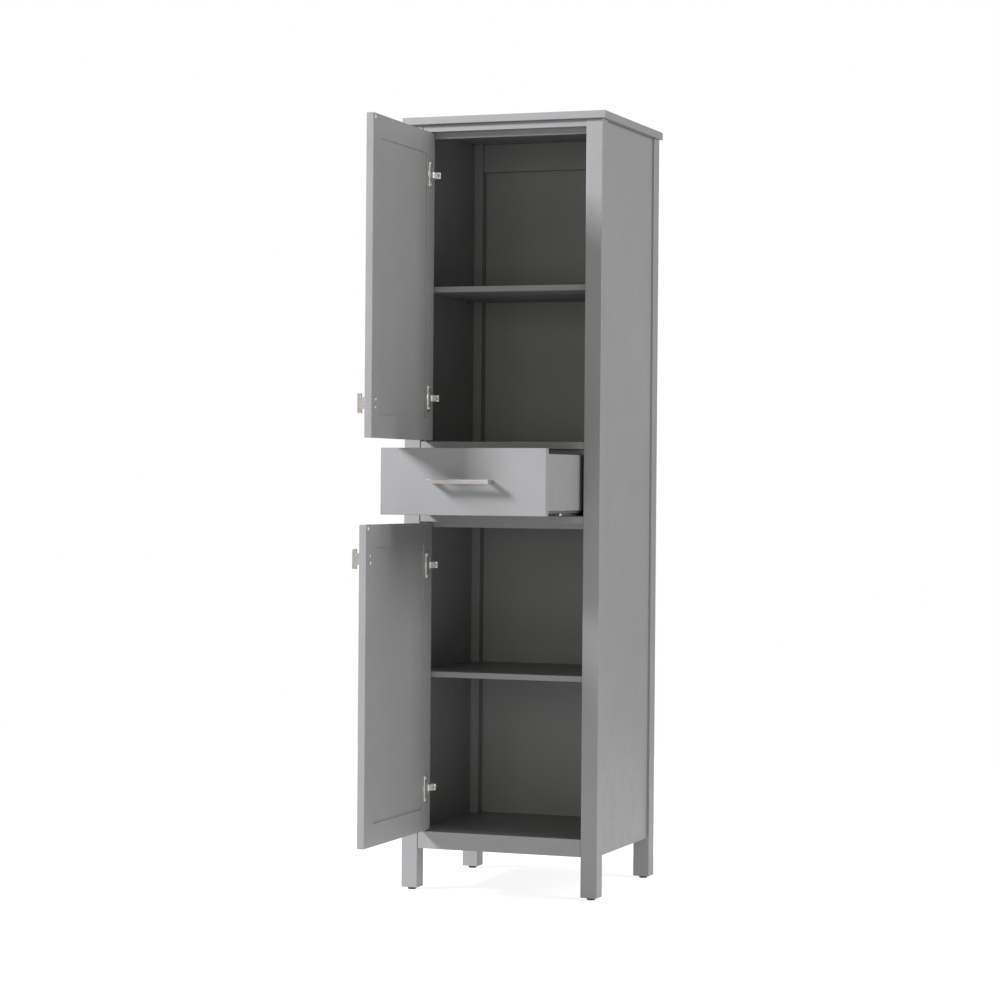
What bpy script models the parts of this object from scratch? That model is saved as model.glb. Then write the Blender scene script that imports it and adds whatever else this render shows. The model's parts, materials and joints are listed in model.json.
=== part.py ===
"""Pantry cabinet: four legs, panelled sides, two shaker doors on concealed hinges, and one
drawer on undermount slides. Metres, +Z up, +X to the cabinet's right, the front faces -Y.
The origin is on the floor, midway between the legs, in the front legs' centre plane."""
import math

import bmesh
import bpy
from mathutils import Matrix, Vector

# ---- driving dimensions -------------------------------------------------------------------
HEIGHT = 1.651                 # floor to the top's upper face
SLAB_THICK = 0.016
SLAB_LIP = 0.008               # top's overhang at the front and the sides
LEG = 0.036                    # square leg
FRAME_WIDTH = 0.441            # over the legs' outer faces
LEG_PITCH_Y = 0.363            # front leg centres to rear leg centres
GLIDE_HIGH = 0.005
GAP = 0.0003                   # between pieces that touch
EDGE = 0.0006                  # softened edge of a board

BOARD = 0.012                  # side panels, shelves, decks
SIDE_SET_BACK = 0.005          # side panels behind the legs' outer faces
CASE_LOW = 0.090               # underside of the case
APRON_TOP = 0.127
RAIL_HIGH = 0.015
DRAWER_RAIL_Z = 0.8035         # upper face of the rail under the drawer
UPPER_DECK_Z = 0.9595          # upper faces of the deck and the shelves
LOWER_SHELF_Z = 0.4675
UPPER_SHELF_Z = 1.291
STRIP_HIGH = 0.0265            # stop strips on edge behind the rails
TOP_STRIP_HIGH = 0.028
RAIL_SET_BACK = 0.0015         # rail faces behind the leg faces
BACK_THICK = 0.005
BACK_Y = 0.3695                # front face of the back panel
SHELF_FRONT_Y = 0.005

DOOR_WIDTH = 0.365
DOOR_HIGH = 0.656
DOOR_THICK = 0.016
DOOR_REVEAL = 0.002
FRAME_BAR = 0.047              # width of the doors' stiles and rails
PANEL_BACK_STEP = 0.0025       # panel below the frame on the inner face
PANEL_THICK = 0.0075
GROOVE_DEEP = 0.006
UPPER_DOOR_Z = 0.962
LOWER_DOOR_Z = 0.130
UPPER_DOOR_OPEN = 88.0         # degrees open at rest
LOWER_DOOR_OPEN = 89.5

HINGE_FROM_END = 0.090         # hinge centre from each end of a door
CUP_RADIUS = 0.0173
CUP_CENTRE = 0.0225            # from the door's hinge edge
CUP_DEEP = 0.0115
FLANGE_CENTRE = 0.0328
FLANGE_HIGH = 0.057
FLANGE_WIDE = 0.0146
FLANGE_THICK = 0.0032
FLANGE_SCREWS = 0.045
FLANGE_PILOT = 0.0021          # radius of the flange screws' pilot holes
FLANGE_PILOT_DEEP = 0.0115
SHEET = 0.0012                 # pressed steel

DRAWER_OUT = 0.225             # drawer pulled out at rest
SLIDE_RATIO = 0.5              # middle slide members travel half as far
FRONT_WIDTH = 0.362
FRONT_LOW = 0.8055
FRONT_TOP = 0.9435
FRONT_THICK = 0.016
BOX_HALF = 0.1755
BOX_LENGTH = 0.350
BOX_LOW = 0.8162
BOX_TOP = 0.9322
BOTTOM_RECESS = 0.0127
BOTTOM_THICK = 0.006

LEFT, RIGHT = -1, 1
FRAME_HALF = FRAME_WIDTH / 2
OPENING = FRAME_HALF - LEG                     # half width between the legs
SIDE_INNER = FRAME_HALF - SIDE_SET_BACK - BOARD
LEG_FRONT = -LEG / 2
LEG_BACK = LEG_PITCH_Y + LEG / 2
CASE_TOP = HEIGHT - SLAB_THICK
STRIP_FRONT = SHELF_FRONT_Y - 0.002
DOOR_FRONT = LEG_FRONT
DOOR_INNER = DOOR_FRONT + DOOR_THICK
DOOR_EDGE = -OPENING + DOOR_REVEAL             # hinge edge of a closed door
PIVOT = Vector((DOOR_EDGE + 0.010, DOOR_INNER - 0.011, 0.0))
SCREW_HOLE = 0.0022            # radius of the pull screws' holes
SCREW_IN = 0.009
PAST_FACE = 0.003              # through holes run on past the far face
MATERIALS = {
    "painted_wood": ((0.25, 0.25, 0.255, 1.0), 0.42, 0.0),
    "nickel": ((0.66, 0.62, 0.57, 1.0), 0.28, 1.0),
    "zinc_steel": ((0.52, 0.53, 0.54, 1.0), 0.35, 1.0),
    "black_plastic": ((0.02, 0.02, 0.02, 1.0), 0.50, 0.0),
}


# ---- scene, collections, materials --------------------------------------------------------
def clear_scene():
    for item in list(bpy.data.objects):
        bpy.data.objects.remove(item, do_unlink=True)


def new_collection(name):
    collection = bpy.data.collections.new(name)
    bpy.context.scene.collection.children.link(collection)
    return collection


def new_material(name, colour, roughness, metallic):
    material = bpy.data.materials.new(name)
    material.use_nodes = True
    shader = material.node_tree.nodes["Principled BSDF"]
    shader.inputs["Base Color"].default_value = colour
    shader.inputs["Roughness"].default_value = roughness
    shader.inputs["Metallic"].default_value = metallic
    return material


clear_scene()
PARTS = new_collection("pantry_cabinet")
CUTTERS = new_collection("cutters")


# ---- placing and shaping ------------------------------------------------------------------
class Carrier:
    """An empty that carries a moving group: home is where the group's closed frame has it."""

    def __init__(self, name, home, offset=(0, 0, 0), turn_deg=0.0):
        self.home = Vector(home)
        self.empty = bpy.data.objects.new(name, None)
        self.empty.location = self.home + Vector(offset)
        self.empty.rotation_euler[2] = math.radians(turn_deg)
        PARTS.objects.link(self.empty)


def place(item, centre, carrier, collection=PARTS):
    """Put an item at its closed-position centre, on its carrier if it moves."""
    item.location = Vector(centre)
    if carrier:
        item.parent = carrier.empty
        item.location = Vector(centre) - carrier.home
    collection.objects.link(item)
    return item


def finish(name, work, centre, material, carrier=None, edge=0.0, segments=1):
    """Make a bmesh into a named part with its own material."""
    mesh = bpy.data.meshes.new(name)
    work.to_mesh(mesh)
    work.free()
    item = bpy.data.objects.new(name, mesh)
    mesh.materials.append(new_material(name + "_" + material, *MATERIALS[material]))
    mesh.shade_smooth()
    mesh.set_sharp_from_angle(angle=math.radians(35))
    place(item, centre, carrier)
    if edge:
        bevel = item.modifiers.new("soft_edges", "BEVEL")
        bevel.width = edge
        bevel.segments = segments
        bevel.limit_method = "ANGLE"
    return item


def add_block(work, low, high):
    made = bmesh.ops.create_cube(work, size=1.0)["verts"]
    size = [b - a for a, b in zip(low, high)]
    centre = [(a + b) / 2 for a, b in zip(low, high)]
    bmesh.ops.scale(work, vec=size, verts=made)
    bmesh.ops.translate(work, vec=centre, verts=made)


TURN_TO = {
    "+Z": Matrix.Identity(4),
    "+Y": Matrix.Rotation(math.radians(-90), 4, "X"),
    "-Y": Matrix.Rotation(math.radians(90), 4, "X"),
    "+X": Matrix.Rotation(math.radians(90), 4, "Y"),
    "-X": Matrix.Rotation(math.radians(-90), 4, "Y"),
}


def add_rod(work, base, direction, length, radius, top_radius=None, sides=20):
    """A round bar, or a cone, from base along a row axis."""
    top = radius if top_radius is None else top_radius
    made = bmesh.ops.create_cone(work, cap_ends=True, segments=sides, radius1=radius,
                                 radius2=top, depth=length)["verts"]
    spot = Matrix.Translation(Vector(base)) @ TURN_TO[direction]
    bmesh.ops.transform(work, matrix=spot @ Matrix.Translation((0, 0, length / 2)), verts=made)


def turned(name, profile, base, material):
    """A round piece about +Z: an open (radius, height) profile, centre to centre, on a Screw."""
    work = bmesh.new()
    verts = [work.verts.new((radius, 0, high)) for radius, high in reversed(profile)]
    for pair in zip(verts, verts[1:]):
        work.edges.new(pair)
    item = finish(name, work, base, material)
    spin = item.modifiers.new("spin", "SCREW")
    spin.steps = 24
    spin.render_steps = 24
    spin.use_merge_vertices = True
    spin.merge_threshold = 0.00001
    spin.use_normal_calculate = True
    return item


def board(name, x, y, z, material="painted_wood", carrier=None, edge=EDGE, segments=1):
    """A rectangular board between (low, high) pairs on the three axes."""
    centre = [(pair[0] + pair[1]) / 2 for pair in (x, y, z)]
    half = [(pair[1] - pair[0]) / 2 for pair in (x, y, z)]
    work = bmesh.new()
    add_block(work, [-size for size in half], half)
    return finish(name, work, centre, material, carrier, edge, segments)


def outline(name, points, plane, span, material="painted_wood", carrier=None, edge=EDGE):
    """Extrude a flat outline across span: plane "xy" along Z, "xz" along Y, "yz" along X."""
    curve = bpy.data.curves.new(name, "CURVE")
    curve.dimensions = "2D"
    curve.fill_mode = "BOTH"
    curve.extrude = (span[1] - span[0]) / 2
    spline = curve.splines.new("POLY")
    spline.points.add(len(points) - 1)
    spline.use_cyclic_u = True
    for point, (across, along) in zip(spline.points, points):
        point.co = (across, along, 0, 1)
    flat = bpy.data.objects.new(name + "_outline", curve)
    PARTS.objects.link(flat)
    shape = flat.evaluated_get(bpy.context.evaluated_depsgraph_get())
    mesh = bpy.data.meshes.new_from_object(shape)
    bpy.data.objects.remove(flat, do_unlink=True)
    work = bmesh.new()
    work.from_mesh(mesh)
    bmesh.ops.remove_doubles(work, verts=work.verts, dist=1e-6)
    middle = (span[0] + span[1]) / 2
    turn, centre = {
        "xy": (Matrix.Identity(4), (0, 0, middle)),
        "xz": (Matrix.Rotation(math.radians(90), 4, "X"), (0, middle, 0)),
        "yz": (Matrix(((0, 0, 1, 0), (1, 0, 0, 0), (0, 1, 0, 0), (0, 0, 0, 1))), (middle, 0, 0)),
    }[plane]
    bmesh.ops.transform(work, matrix=turn, verts=work.verts)
    bmesh.ops.dissolve_limit(work, angle_limit=0.001, verts=work.verts, edges=work.edges)
    bmesh.ops.recalc_face_normals(work, faces=work.faces)
    return finish(name, work, centre, material, carrier, edge)


def shape_with(item, work, operation, label, carrier=None):
    """Cut away or join on a helper shape, given in closed-position coordinates."""
    mesh = bpy.data.meshes.new(item.name + label)
    work.to_mesh(mesh)
    work.free()
    helper = bpy.data.objects.new(item.name + label, mesh)
    place(helper, (0, 0, 0), carrier, CUTTERS)
    helper.hide_render = True
    helper.display_type = "WIRE"
    change = item.modifiers.new(label.strip("_"), "BOOLEAN")
    change.operation = operation
    change.solver = "EXACT"
    change.object = helper


def bore(item, holes, carrier=None, label="_bores"):
    """Drill round holes: (mouth, direction into the wood, depth, radius)."""
    work = bmesh.new()
    clearance = 0.002
    for mouth, direction, depth, radius in holes:
        into = TURN_TO[direction].to_3x3() @ Vector((0, 0, 1))
        start = Vector(mouth) - into * clearance
        add_rod(work, start, direction, depth + clearance, radius)
    shape_with(item, work, "DIFFERENCE", label, carrier)


# ---- case ---------------------------------------------------------------------------------
def sides():
    return (("left", LEFT), ("right", RIGHT))


def ordered(side, inner, outer):
    """(low, high) X pair for a piece between two distances from the centre line."""
    return (inner, outer) if side == RIGHT else (-outer, -inner)


def build_legs_and_top():
    board("top_slab", (-FRAME_HALF - SLAB_LIP, FRAME_HALF + SLAB_LIP),
          (LEG_FRONT - SLAB_LIP, LEG_BACK), (CASE_TOP, HEIGHT), edge=0.0012, segments=2)
    for place_name, centre_y in (("front", 0.0), ("rear", LEG_PITCH_Y)):
        for side_name, side in sides():
            leg = board("leg_" + place_name + "_" + side_name,
                        ordered(side, OPENING, FRAME_HALF),
                        (centre_y - LEG / 2, centre_y + LEG / 2),
                        (GLIDE_HIGH + GAP, CASE_TOP - GAP), edge=0.0010, segments=2)
            middle = side * (FRAME_HALF - LEG / 2)
            bore(leg, [((middle, centre_y, GLIDE_HIGH + GAP), "+Z", 0.016, 0.0033)])


def build_glides():
    """Round pads under the legs, each with a stem pressed up into its leg."""
    pad, stem, stem_high = 0.009, 0.003, 0.015
    profile = [(0, 0), (pad - 0.001, 0), (pad, 0.001), (pad, GLIDE_HIGH - 0.0005),
               (pad - 0.0005, GLIDE_HIGH), (stem, GLIDE_HIGH), (stem, GLIDE_HIGH + stem_high),
               (0, GLIDE_HIGH + stem_high)]
    for place_name, centre_y in (("front", 0.0), ("rear", LEG_PITCH_Y)):
        for side_name, side in sides():
            turned("glide_" + place_name + "_" + side_name, profile,
                   (side * (FRAME_HALF - LEG / 2), centre_y, 0), "black_plastic")


def build_side_panels():
    span_y = (LEG / 2 + GAP, LEG_PITCH_Y - LEG / 2 - GAP)
    for side_name, side in sides():
        board("side_panel_" + side_name, ordered(side, SIDE_INNER, SIDE_INNER + BOARD),
              span_y, (CASE_LOW, CASE_TOP - GAP))


def notched(front_y):
    """Outline of a full-depth board that fits round the legs and reaches the side panels."""
    narrow, wide = OPENING - GAP, SIDE_INNER - GAP
    front_notch, rear_notch = LEG / 2 + GAP, LEG_PITCH_Y - LEG / 2 - GAP
    back = BACK_Y - GAP
    right = [(narrow, front_y), (narrow, front_notch), (wide, front_notch),
             (wide, rear_notch), (narrow, rear_notch), (narrow, back)]
    return right + [(-across, along) for across, along in reversed(right)]


def build_decks_and_shelves():
    behind_strip = STRIP_FRONT + BOARD + GAP
    for name, top, front_y in (
            ("upper_shelf", UPPER_SHELF_Z, SHELF_FRONT_Y),
            ("upper_deck", UPPER_DECK_Z, behind_strip),
            ("lower_shelf", LOWER_SHELF_Z, SHELF_FRONT_Y),
            ("floor_panel", APRON_TOP, STRIP_FRONT + GAP)):
        outline(name, notched(front_y), "xy", (top - BOARD, top))


def build_rails():
    """Front rails between the legs, and the stop strips on edge behind them."""
    across = (-OPENING + GAP, OPENING - GAP)
    rail_y = (LEG_FRONT + RAIL_SET_BACK, STRIP_FRONT - GAP)
    strip_y = (STRIP_FRONT, STRIP_FRONT + BOARD)
    for name, top in (("top", CASE_TOP - GAP), ("upper_mid", UPPER_DECK_Z),
                      ("lower_mid", DRAWER_RAIL_Z)):
        board(name + "_rail", across, rail_y, (top - RAIL_HIGH, top))
        high = TOP_STRIP_HIGH if name == "top" else STRIP_HIGH
        board(name + "_stop_strip", across, strip_y, (top - high, top))
    board("apron", across, rail_y, (CASE_LOW, APRON_TOP))


def build_back():
    across = (-OPENING + GAP, OPENING - GAP)
    board("back_panel", across, (BACK_Y, BACK_Y + BACK_THICK), (CASE_LOW, CASE_TOP - GAP),
          edge=0.0003)
    rail_thick, rail_high = 0.015, 0.062
    board("back_top_rail", across, (BACK_Y - GAP - rail_thick, BACK_Y - GAP),
          (CASE_TOP - rail_high, CASE_TOP - GAP))


# ---- drawer and its slides ----------------------------------------------------------------
SLIDE_Z = DRAWER_RAIL_Z + GAP
SLIDE_OUTER = OPENING - GAP


def build_slides(drawer, middle):
    """Undermount slides: a fixed trough, a middle channel and a runner under each box side."""
    trough_top, wall_top, inner = SLIDE_Z + 0.0070, SLIDE_Z + 0.0180, 0.1500
    trough = [(SLIDE_OUTER, SLIDE_Z), (SLIDE_OUTER, wall_top), (SLIDE_OUTER - SHEET, wall_top),
              (SLIDE_OUTER - SHEET, SLIDE_Z + SHEET), (inner + SHEET, SLIDE_Z + SHEET),
              (inner + SHEET, trough_top), (inner, trough_top), (inner, SLIDE_Z)]
    low, high = SLIDE_Z + 0.0020, SLIDE_Z + 0.0080
    in_x, out_x = 0.1560, 0.1680               # middle channel, from the centre line
    channel = [(in_x, low), (out_x, low), (out_x, high), (out_x - SHEET, high),
               (out_x - SHEET, low + SHEET), (in_x + SHEET, low + SHEET), (in_x + SHEET, high),
               (in_x, high)]
    top, lip = BOX_LOW - GAP, BOX_LOW - 0.0055
    near, far = 0.1528, BOX_HALF - 0.0004
    hat = [(near, top), (far, top), (far, lip), (far - SHEET, lip), (far - SHEET, top - SHEET),
           (near + SHEET, top - SHEET), (near + SHEET, lip), (near, lip)]
    rail_span, middle_span = (0.000, 0.358), (0.004, 0.334)
    runner_span = (DOOR_INNER + GAP, DOOR_INNER + BOX_LENGTH - 0.004)
    sections = {
        "slide_rail": (trough, rail_span, None),
        "slide_middle": (channel, middle_span, middle),
        "slide_runner": (hat, runner_span, drawer),
    }
    for label, (section, span, carrier) in sections.items():
        for side_name, side in sides():
            points = [(side * across, high) for across, high in section]
            outline(label + "_" + side_name, points, "xz", span, "zinc_steel", carrier,
                    edge=0.0)


PULL_HALF = 0.0665
PULL_BAR = 0.008
PULL_OUT = 0.029


def build_drawer(drawer):
    front_back = DOOR_FRONT + FRONT_THICK
    box_front = front_back + GAP
    box_back = DOOR_INNER + BOX_LENGTH
    inner = BOX_HALF - BOARD
    middle_z = (FRONT_LOW + FRONT_TOP) / 2
    screws = [(side * (PULL_HALF - PULL_BAR / 2), middle_z) for side in (LEFT, RIGHT)]
    front = board("drawer_front", (-FRONT_WIDTH / 2, FRONT_WIDTH / 2), (DOOR_FRONT, front_back),
                  (FRONT_LOW, FRONT_TOP), carrier=drawer, edge=0.0010, segments=2)
    bore(front, [((x, front_back, z), "-Y", FRONT_THICK + PAST_FACE, SCREW_HOLE)
                 for x, z in screws], drawer)
    for side_name, side in sides():
        board("drawer_side_" + side_name, ordered(side, inner, BOX_HALF), (box_front, box_back),
              (BOX_LOW, BOX_TOP), carrier=drawer)
    between = (-inner + GAP, inner - GAP)
    bottom_z = BOX_LOW + BOTTOM_RECESS
    board("drawer_back", between, (box_back - BOARD, box_back),
          (bottom_z + BOTTOM_THICK + GAP, BOX_TOP), carrier=drawer)
    board("drawer_bottom", between, (box_front, box_back), (bottom_z, bottom_z + BOTTOM_THICK),
          carrier=drawer, edge=0.0003)
    build_drawer_pull(drawer, middle_z, screws)


def build_drawer_pull(drawer, middle_z, screws):
    """A square-section bar bent to a U, screwed on from inside the drawer."""
    face = DOOR_FRONT - GAP
    outer, bar = PULL_HALF, PULL_BAR
    points = [(outer, face), (outer, face - PULL_OUT), (-outer, face - PULL_OUT), (-outer, face),
              (-outer + bar, face), (-outer + bar, face - PULL_OUT + bar),
              (outer - bar, face - PULL_OUT + bar), (outer - bar, face)]
    pull = outline("drawer_pull", points, "xy", (middle_z - bar / 2, middle_z + bar / 2),
                   "nickel", drawer, edge=0.0008)
    bore(pull, [((x, face, z), "-Y", SCREW_IN, SCREW_HOLE) for x, z in screws], drawer)


# ---- doors --------------------------------------------------------------------------------
GROOVE_FRONT = DOOR_INNER - PANEL_BACK_STEP - PANEL_THICK - GAP
GROOVE_BACK = DOOR_INNER - PANEL_BACK_STEP + GAP
T_PULL_FROM_EDGE = 0.023
T_PULL_HIGH = 0.041
T_PULL_BAR = 0.008
T_PULL_OUT = 0.0225
T_SCREWS = 0.016
PULL_FROM_END = 0.070          # pull centre from the door's end
LINK_PIN = (-0.1539, 0.0044)   # fixed vertical pin at the arm's tip
LINK_SHUT_DEG = 221.9          # link's direction from +X with the door shut
LINK_LONG = 0.0208             # pin to knee
HOOK_DEG = -78.9               # hook's turn at the knee
HOOK_LONG = 0.0043
LINK_RATIO = 0.336             # link turn for each degree of door turn
LINK_THICK = 0.0020
LINK_HALF_HIGH = 0.0067
KNUCKLE = 0.0028               # radius round the pin
PIN_HOLE = 0.0015
TONGUE_HALF = 0.0028           # half height of the arm's tongue in the link's fork
FORK_HALF = 0.0031
FORK_LONG = 0.0056             # fork's depth from the pin


def groove_block(work, x, z):
    add_block(work, (x[0], GROOVE_FRONT, z[0]), (x[1], GROOVE_BACK, z[1]))


def hinge_heights(low):
    return (low + HINGE_FROM_END, low + DOOR_HIGH - HINGE_FROM_END)


def build_door_frame(name, low, door, pull_z):
    high = low + DOOR_HIGH
    free_edge = DOOR_EDGE + DOOR_WIDTH
    spans = {"hinge_stile": (DOOR_EDGE, DOOR_EDGE + FRAME_BAR),
             "free_stile": (free_edge - FRAME_BAR, free_edge)}
    depth = (DOOR_FRONT, DOOR_INNER)
    over = 0.010
    for label, x in spans.items():
        stile = board(name + "_" + label, x, depth, (low, high), carrier=door, edge=0.0010,
                      segments=2)
        inner = x[1] if label == "hinge_stile" else x[0]
        reach = -GROOVE_DEEP if label == "hinge_stile" else GROOVE_DEEP
        groove = tuple(sorted((inner + reach, inner - reach)))
        work = bmesh.new()
        groove_block(work, groove, (low - over, high + over))
        shape_with(stile, work, "DIFFERENCE", "_groove", door)
        if label == "hinge_stile":
            drill_hinge_stile(stile, low, door)
        else:
            drill_free_stile(stile, pull_z, free_edge, door)
    inner_x = (spans["hinge_stile"][1] + GAP, spans["free_stile"][0] - GAP)
    for label, z in (("bottom_rail", (low, low + FRAME_BAR)),
                     ("top_rail", (high - FRAME_BAR, high))):
        rail = board(name + "_" + label, inner_x, depth, z, carrier=door)
        work = bmesh.new()
        tenon = GROOVE_DEEP - 2 * GAP
        add_block(work, (inner_x[0] - tenon, GROOVE_FRONT + GAP, z[0] + EDGE),
                  (inner_x[1] + tenon, GROOVE_BACK - GAP, z[1] - EDGE))
        shape_with(rail, work, "UNION", "_tenons", door)
        groove_z = (z[1] - GROOVE_DEEP, z[1] + over) if label == "bottom_rail" else (
            z[0] - over, z[0] + GROOVE_DEEP)
        work = bmesh.new()
        groove_block(work, (inner_x[0] - over, inner_x[1] + over), groove_z)
        shape_with(rail, work, "DIFFERENCE", "_groove", door)
    tongue = GROOVE_DEEP - 2 * GAP
    board(name + "_panel",
          (spans["hinge_stile"][1] - tongue, spans["free_stile"][0] + tongue),
          (GROOVE_FRONT + GAP, GROOVE_BACK - GAP),
          (low + FRAME_BAR - tongue, high - FRAME_BAR + tongue), carrier=door, edge=0.0003)


def drill_hinge_stile(stile, low, door):
    slack = 0.0005                 # round and under the cup
    holes = []
    for z in hinge_heights(low):
        holes.append(((DOOR_EDGE + CUP_CENTRE, DOOR_INNER, z), "-Y", CUP_DEEP + slack,
                      CUP_RADIUS + slack))
        for offset in (-FLANGE_SCREWS / 2, FLANGE_SCREWS / 2):
            holes.append(((DOOR_EDGE + FLANGE_CENTRE, DOOR_INNER, z + offset), "-Y",
                          FLANGE_PILOT_DEEP, FLANGE_PILOT))
    bore(stile, holes, door)


def drill_free_stile(stile, pull_z, free_edge, door):
    x = free_edge - T_PULL_FROM_EDGE
    bore(stile, [((x, DOOR_INNER, pull_z + offset), "-Y", DOOR_THICK + PAST_FACE,
                  SCREW_HOLE) for offset in (-T_SCREWS / 2, T_SCREWS / 2)], door)


def build_door_pull(name, door, pull_z):
    """A T-shaped pull: a square upright bar on a post that narrows a little to the door."""
    x = DOOR_EDGE + DOOR_WIDTH - T_PULL_FROM_EDGE
    face = DOOR_FRONT - GAP
    bar_back = face - T_PULL_OUT + T_PULL_BAR
    half, post_half, foot_half = T_PULL_HIGH / 2, 0.0125, 0.0118
    points = [(face, -foot_half), (face, foot_half), (bar_back, post_half), (bar_back, half),
              (bar_back - T_PULL_BAR, half), (bar_back - T_PULL_BAR, -half),
              (bar_back, -half), (bar_back, -post_half)]
    shape = [(y, pull_z + z) for y, z in points]
    pull = outline(name + "_pull", shape, "yz", (x - T_PULL_BAR / 2, x + T_PULL_BAR / 2),
                   "nickel", door, edge=0.0007)
    bore(pull, [((x, face, pull_z + offset), "-Y", SCREW_IN, SCREW_HOLE)
                for offset in (-T_SCREWS / 2, T_SCREWS / 2)], door)


def hinge_names(name, low):
    return zip((name + "_lower_", name + "_upper_"), hinge_heights(low))


def build_hinge_cups(name, low, door):
    """Pressed cups with upright flanges, let into the door's inner face."""
    face = DOOR_INNER + GAP
    cup_x, flange_x = DOOR_EDGE + CUP_CENTRE, DOOR_EDGE + FLANGE_CENTRE
    for prefix, z in hinge_names(name, low):
        flange, rim, cup, cavity = (bmesh.new() for _ in range(4))
        add_block(flange, (flange_x - FLANGE_WIDE / 2, face, z - FLANGE_HIGH / 2),
                  (flange_x + FLANGE_WIDE / 2, face + FLANGE_THICK, z + FLANGE_HIGH / 2))
        add_rod(rim, (cup_x, face + SHEET / 6, z), "+Y", SHEET * 0.6, CUP_RADIUS + 0.0012,
                sides=32)
        add_rod(cup, (cup_x, face + SHEET / 2, z), "-Y", CUP_DEEP, CUP_RADIUS, sides=32)
        mouth = face + FLANGE_THICK + SHEET
        floor = face + SHEET / 2 - CUP_DEEP + SHEET
        add_rod(cavity, (cup_x, mouth, z), "-Y", mouth - floor, CUP_RADIUS - SHEET, sides=32)
        item = finish(prefix + "hinge_cup", flange, (0, 0, 0), "nickel", door)
        shape_with(item, rim, "UNION", "_rim", door)
        shape_with(item, cup, "UNION", "_cup", door)
        shape_with(item, cavity, "DIFFERENCE", "_cavity", door)
        bore(item, [((flange_x, face + FLANGE_THICK, z + offset), "-Y", 2 * FLANGE_THICK,
                     SCREW_HOLE)
                    for offset in (-FLANGE_SCREWS / 2, FLANGE_SCREWS / 2)], door)


ARM_HALF_HIGH = 0.0075
ARM_FRONT, ARM_BACK = 0.0035, 0.0175
ARM_END = -0.1605              # where the arm narrows to its tongue
TONGUE_FRONT, TONGUE_BACK, TONGUE_TIP = 0.0024, 0.0040, 0.0026  # from the pin


def build_hinge_arms(name, low):
    """Fixed arms on the leg's inner face; each ends in a tongue that carries the link's pin."""
    face = -OPENING + GAP
    plate_half, plate_thick, screw_offset, screw_y, screw_deep = 0.020, 0.0018, 0.014, 0.0105, 0.004
    ease_in, past_pin = 0.0004, 0.010
    for prefix, z in hinge_names(name, low):
        plate, arm, tongue = (bmesh.new() for _ in range(3))
        add_block(plate, (face, ARM_FRONT, z - plate_half),
                  (face + plate_thick, ARM_BACK, z + plate_half))
        add_block(arm, (face + plate_thick / 3, ARM_FRONT + ease_in, z - ARM_HALF_HIGH),
                  (ARM_END, ARM_BACK - 2 * ease_in, z + ARM_HALF_HIGH))
        add_block(tongue, (ARM_END - TONGUE_BACK, LINK_PIN[1] - TONGUE_FRONT, z - TONGUE_HALF),
                  (LINK_PIN[0] + TONGUE_TIP, LINK_PIN[1] + TONGUE_BACK, z + TONGUE_HALF))
        item = finish(prefix + "hinge_arm", plate, (0, 0, 0), "nickel")
        shape_with(item, arm, "UNION", "_arm")
        shape_with(item, tongue, "UNION", "_tongue")
        bore(item, [((*LINK_PIN, z - past_pin), "+Z", 2 * past_pin, PIN_HOLE)],
             label="_pin_hole")
        bore(item, [((face + plate_thick, screw_y, z + offset), "-X", screw_deep, SCREW_HOLE)
                    for offset in (-screw_offset, screw_offset)], label="_screw_holes")


def build_hinge_links(name, low, links):
    """Hooked links from the fixed pins into the cups, as they lie with the door shut."""
    pin = Vector(LINK_PIN)
    along = Vector((math.cos(math.radians(LINK_SHUT_DEG)), math.sin(math.radians(LINK_SHUT_DEG))))
    hooked = math.radians(LINK_SHUT_DEG + HOOK_DEG)
    knee = pin + along * LINK_LONG
    tip = knee + Vector((math.cos(hooked), math.sin(hooked))) * HOOK_LONG
    around, past_pin = 0.0045, 0.010
    for prefix, z in hinge_names(name, low):
        knuckle, fork, bars = bmesh.new(), bmesh.new(), [bmesh.new(), bmesh.new()]
        base = z - LINK_HALF_HIGH
        add_rod(knuckle, (*pin, base), "+Z", 2 * LINK_HALF_HIGH, KNUCKLE)
        for bar, (start, end) in zip(bars, ((pin, knee), (knee, tip))):
            run = end - start
            add_block(bar, (0, -LINK_THICK / 2, base),
                      (run.length + LINK_THICK / 2, LINK_THICK / 2, base + 2 * LINK_HALF_HIGH))
            turn = Matrix.Rotation(math.atan2(run.y, run.x), 4, "Z")
            bmesh.ops.transform(bar, matrix=Matrix.Translation((*start, 0)) @ turn,
                                verts=bar.verts)
        add_block(fork, (-around, -around, z - FORK_HALF), (FORK_LONG, around, z + FORK_HALF))
        turn = Matrix.Rotation(math.radians(LINK_SHUT_DEG), 4, "Z")
        bmesh.ops.transform(fork, matrix=Matrix.Translation((*pin, 0)) @ turn, verts=fork.verts)
        item = finish(prefix + "hinge_link", knuckle, (0, 0, 0), "nickel", links)
        shape_with(item, bars[0], "UNION", "_bar", links)
        shape_with(item, bars[1], "UNION", "_hook", links)
        shape_with(item, fork, "DIFFERENCE", "_fork", links)
        bore(item, [((*pin, z - past_pin), "+Z", 2 * past_pin, PIN_HOLE)], links, "_pin_hole")


def build_door(name, low, open_deg, pull_z):
    door = Carrier(name + "_axis", PIVOT, turn_deg=-open_deg)
    links = Carrier(name + "_link_axis", (*LINK_PIN, 0), turn_deg=LINK_RATIO * open_deg)
    build_door_frame(name, low, door, pull_z)
    build_door_pull(name, door, pull_z)
    build_hinge_cups(name, low, door)
    build_hinge_arms(name, low)
    build_hinge_links(name, low, links)


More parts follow.
